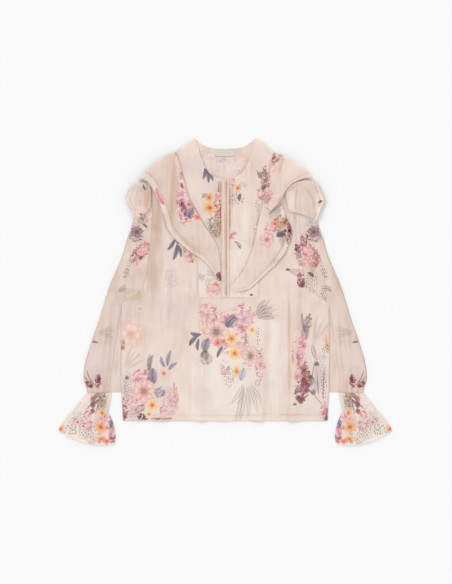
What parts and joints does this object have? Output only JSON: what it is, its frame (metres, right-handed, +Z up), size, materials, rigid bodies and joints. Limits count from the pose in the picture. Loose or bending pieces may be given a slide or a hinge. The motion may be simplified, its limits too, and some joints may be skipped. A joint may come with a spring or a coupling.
{
  "type": "blouse",
  "caption": "Sheer printed blouse with V frills, cap frills, full sleeves and flared cuffs, laid flat.",
  "frame": {"origin": "on the surface the blouse lies on, under the middle of its outline", "axes": "+X towards the sleeve on the right as seen from above, +Y towards the neck, +Z up from the surface"},
  "size_m": [0.7642, 0.7032, 0.0104],
  "materials": {
    "printed_chiffon": "matte, sheer",
    "plain_chiffon": "matte, sheer",
    "label_tape": "satin"
  },
  "bodies": {
    "root": {"body_back": "printed_chiffon", "body_front": "printed_chiffon", "label": "label_tape", "bib": "printed_chiffon", "yoke_left": "printed_chiffon", "yoke_right": "printed_chiffon", "placket_over": "plain_chiffon", "placket_under": "plain_chiffon", "ruffle_left": "printed_chiffon", "ruffle_right_upper": "printed_chiffon", "ruffle_right_lower": "printed_chiffon", "cap_left": "printed_chiffon", "cap_right": "printed_chiffon", "sleeve_left": "printed_chiffon", "wrist_band_left": "printed_chiffon", "cuff_flounce_left": "printed_chiffon", "sleeve_right": "printed_chiffon", "wrist_band_right": "printed_chiffon", "cuff_flounce_right": "printed_chiffon"}
  },
  "joints": []
}
